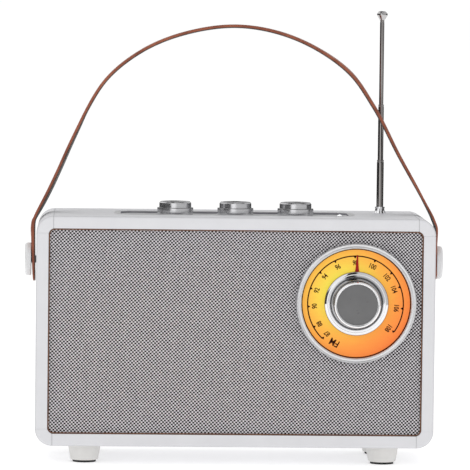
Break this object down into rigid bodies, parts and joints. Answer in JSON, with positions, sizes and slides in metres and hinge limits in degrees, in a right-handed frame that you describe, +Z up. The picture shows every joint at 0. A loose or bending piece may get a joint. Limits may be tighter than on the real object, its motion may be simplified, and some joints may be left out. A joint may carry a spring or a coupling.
{
  "type": "tabletop radio",
  "caption": "Retro tabletop radio: wrapped case with rounded corners, woven front, lit tuning dial, top knobs, telescopic aerial and a leather carrying strap.",
  "frame": {"origin": "on the surface the radio stands on, at the middle of the bounding box's footprint", "axes": "+Z up, along the aerial; the front with the dial faces -Y; +X to the right as seen from the front"},
  "size_m": [0.2972, 0.119, 0.3195],
  "materials": {
    "case_wrap": "white leatherette over fibreboard, fine grain, satin",
    "baffle_board": "raw fibreboard",
    "grille_cloth": "plain weave of pale and dark grey threads",
    "grille_trim": "brown edge cord",
    "rear_board": "black, fine texture",
    "black_plastic": "black",
    "steel": "zinc plated",
    "feet": "warm white, satin",
    "rubber": "black, matt",
    "bezel": "light silver, satin",
    "dial_scale": "translucent orange, lit from behind",
    "dial_cup": "white",
    "circuit_board": "green solder mask",
    "chrome": "bright chrome",
    "knob_face": "grey, spun satin",
    "needle": "red lacquer",
    "knob": "turned, satin anodised",
    "control_plate": "light silver, satin",
    "lens": "milky white, lit",
    "pot_case": "bare",
    "strap_leather": "brown, smooth, sewn in two layers",
    "cap": "white, satin",
    "speaker_basket": "dark grey",
    "speaker_cone": "black paper",
    "magnet": "ferrite, bare",
    "brass": "bare",
    "battery": "blue shrink sleeve",
    "wire": "red insulation"
  },
  "bodies": {
    "case": {"case_top": "case_wrap", "case_bottom": "case_wrap", "case_left": "case_wrap", "case_right": "case_wrap", "corner_top_left": "case_wrap", "corner_top_right": "case_wrap", "corner_bottom_left": "case_wrap", "corner_bottom_right": "case_wrap", "front_baffle": "baffle_board", "grille_cloth": "grille_cloth", "grille_trim": "grille_trim", "rear_panel": "rear_board", "rear_screws": "steel", "socket_plate": "black_plastic", "charging_socket": "steel", "aux_socket": "black_plastic", "feet": "feet", "foot_pads": "rubber", "foot_screws": "steel", "dial_bezel": "bezel", "dial_scale": "dial_scale", "dial_cup": "dial_cup", "dial_light_board": "circuit_board", "tuning_capacitor": "pot_case", "control_trim": "bezel", "control_plate": "control_plate", "control_nuts": "steel", "indicator_lens": "lens", "volume_pot": "pot_case", "treble_pot": "pot_case", "bass_pot": "pot_case", "aerial_bush": "chrome", "aerial_sleeve": "steel", "strap_pivots": "steel", "strap_caps": "cap", "left_speaker_basket": "speaker_basket", "left_speaker_cone": "speaker_cone", "left_speaker_magnet": "magnet", "right_speaker_basket": "speaker_basket", "right_speaker_cone": "speaker_cone", "right_speaker_magnet": "magnet", "main_board": "circuit_board", "board_standoffs": "brass", "battery_pack": "battery", "internal_wiring": "wire"},
    "tuning": {"tuning_knob": "chrome", "tuning_knob_face": "knob_face", "dial_needle": "needle", "tuning_shaft": "steel"},
    "volume": {"volume_knob": "knob", "volume_shaft": "steel"},
    "treble": {"treble_knob": "knob", "treble_shaft": "steel"},
    "bass": {"bass_knob": "knob", "bass_shaft": "steel"},
    "aerial_lower": {"aerial_lower": "chrome"},
    "aerial_middle": {"aerial_middle": "chrome"},
    "aerial_upper": {"aerial_upper": "chrome", "aerial_tip": "chrome"},
    "strap": {"strap": "strap_leather"}
  },
  "joints": [
    {"name": "tuning_turn", "type": "hinge", "parent": "case", "child": "tuning", "pos_m": [0.0844, -0.0445, 0.1151], "axis": [0, 1, 0], "range_deg": [-137.7, 125]},
    {"name": "volume_turn", "type": "hinge", "parent": "case", "child": "volume", "pos_m": [-0.0422, 0.0075, 0.1737], "axis": [0, 0, 1], "range_deg": [-150, 150]},
    {"name": "treble_turn", "type": "hinge", "parent": "case", "child": "treble", "pos_m": [0.0006, 0.0075, 0.1737], "axis": [0, 0, 1], "range_deg": [-150, 150]},
    {"name": "bass_turn", "type": "hinge", "parent": "case", "child": "bass", "pos_m": [0.0434, 0.0075, 0.1737], "axis": [0, 0, 1], "range_deg": [-150, 150]},
    {"name": "aerial_lower_slide", "type": "slide", "parent": "case", "child": "aerial_lower", "axis": [0, 0, 1], "range_m": [-0.0335, 0.065]},
    {"name": "aerial_middle_slide", "type": "slide", "parent": "aerial_lower", "child": "aerial_middle", "axis": [0, 0, 1], "range_m": [-0.0395, 0.055]},
    {"name": "aerial_upper_slide", "type": "slide", "parent": "aerial_middle", "child": "aerial_upper", "axis": [0, 0, 1], "range_m": [-0.06, 0.028]},
    {"name": "strap_swing", "type": "hinge", "parent": "case", "child": "strap", "pos_m": [0, 0.0075, 0.1408], "axis": [1, 0, 0], "range_deg": [0, 20]}
  ]
}
